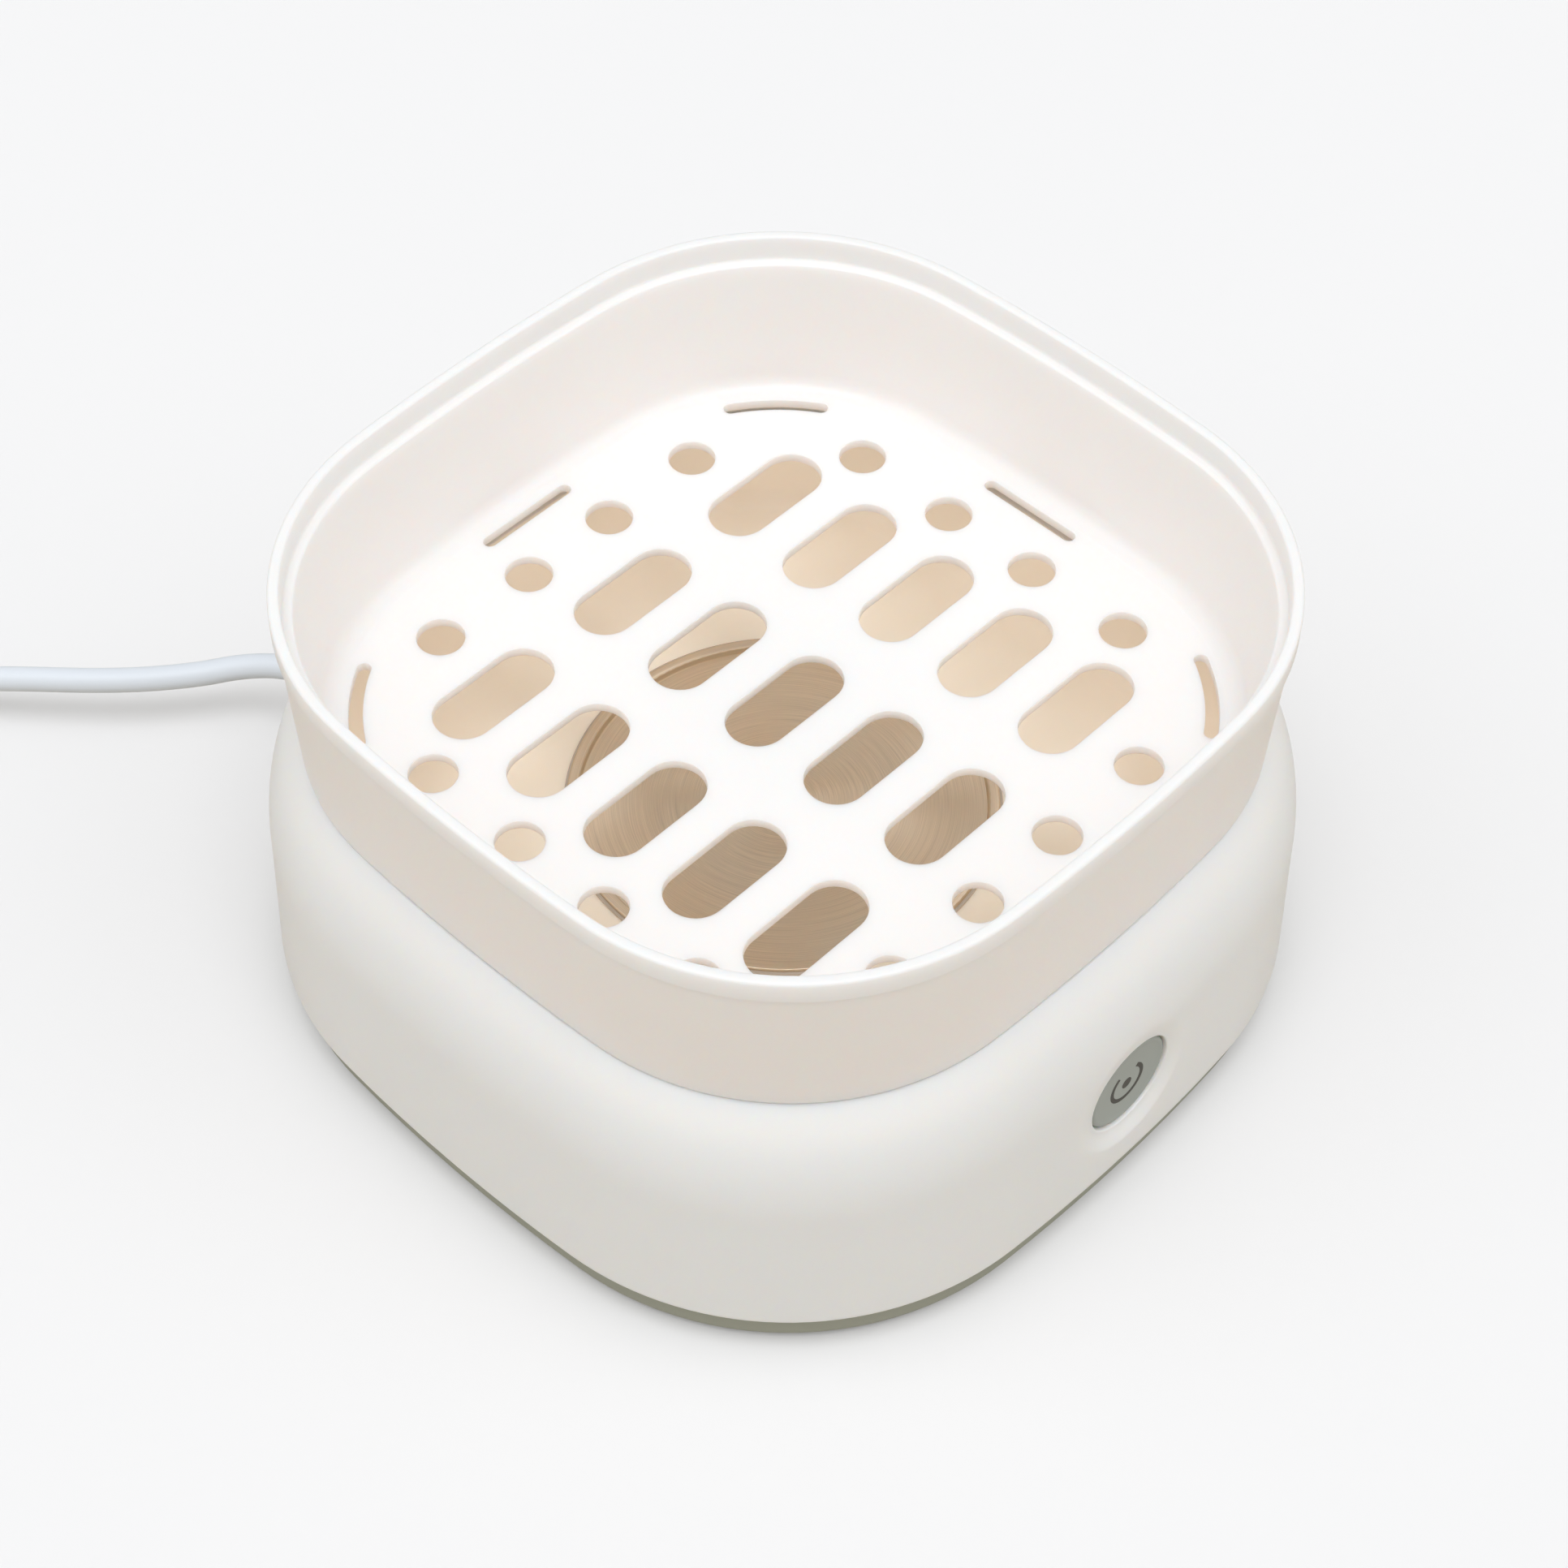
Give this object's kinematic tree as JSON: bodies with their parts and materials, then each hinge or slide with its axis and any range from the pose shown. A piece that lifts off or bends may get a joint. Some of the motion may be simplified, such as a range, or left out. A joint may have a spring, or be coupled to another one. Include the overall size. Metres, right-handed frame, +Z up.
{
  "type": "electric bottle sterilizer",
  "caption": "Electric steam sterilizer base with a rounded-square white shell, a heating plate, a push button and a perforated tray that lifts out.",
  "frame": {"origin": "on the standing surface, under the middle of the base", "axes": "+Z up, -Y to the front with the push button, +Y to the back where the lead leaves"},
  "size_m": [0.2369, 0.4536, 0.1115],
  "materials": {
    "white_plastic": "satin white moulding",
    "tray_plastic": "satin warm white moulding",
    "grey_green_plastic": "matt moulding",
    "button_plastic": "matt moulding",
    "dark_plastic": "matt moulding",
    "light_plastic": "matt moulding",
    "rubber": "matt",
    "silicone": "matt",
    "cord_sheath": "smooth sheath",
    "cord_rubber": "smooth moulding",
    "stainless": "brushed in circles",
    "steel": "plated",
    "aluminium": "cast",
    "brass": "bright",
    "board": "laminate"
  },
  "bodies": {
    "tray": {"tray": "tray_plastic"},
    "button": {"power_button": "button_plastic", "switch_plunger": "dark_plastic"},
    "base": {"base_shell": "white_plastic", "bottom_cover": "grey_green_plastic", "rubber_feet": "rubber", "cover_screws": "steel", "heating_plate": "stainless", "plate_seal": "silicone", "heat_spreader": "aluminium", "heating_element": "steel", "plate_clamp": "steel", "clamp_nuts": "steel", "thermostat": "dark_plastic", "thermal_fuse": "dark_plastic", "fuse_clip": "steel", "button_guide": "dark_plastic", "tact_switch": "dark_plastic", "control_board": "board", "board_screws": "steel", "relay": "dark_plastic", "board_capacitor": "dark_plastic", "board_header": "dark_plastic", "terminal_block": "light_plastic", "inner_leads": "cord_sheath", "cord_inner_end": "cord_sheath", "cord_clamp": "light_plastic", "cord_clamp_screws": "steel", "strain_relief": "cord_rubber", "power_cord": "cord_sheath", "cord_coil": "cord_sheath", "plug_body": "cord_rubber", "plug_pins": "brass"}
  },
  "joints": [
    {"name": "tray_lift", "type": "slide", "parent": "base", "child": "tray", "axis": [0, 0, 1], "range_m": [0, 0.08]},
    {"name": "button_press", "type": "slide", "parent": "base", "child": "button", "axis": [0, 1, 0], "range_m": [0, 0.0012], "stiffness_N_per_m": 1500}
  ]
}
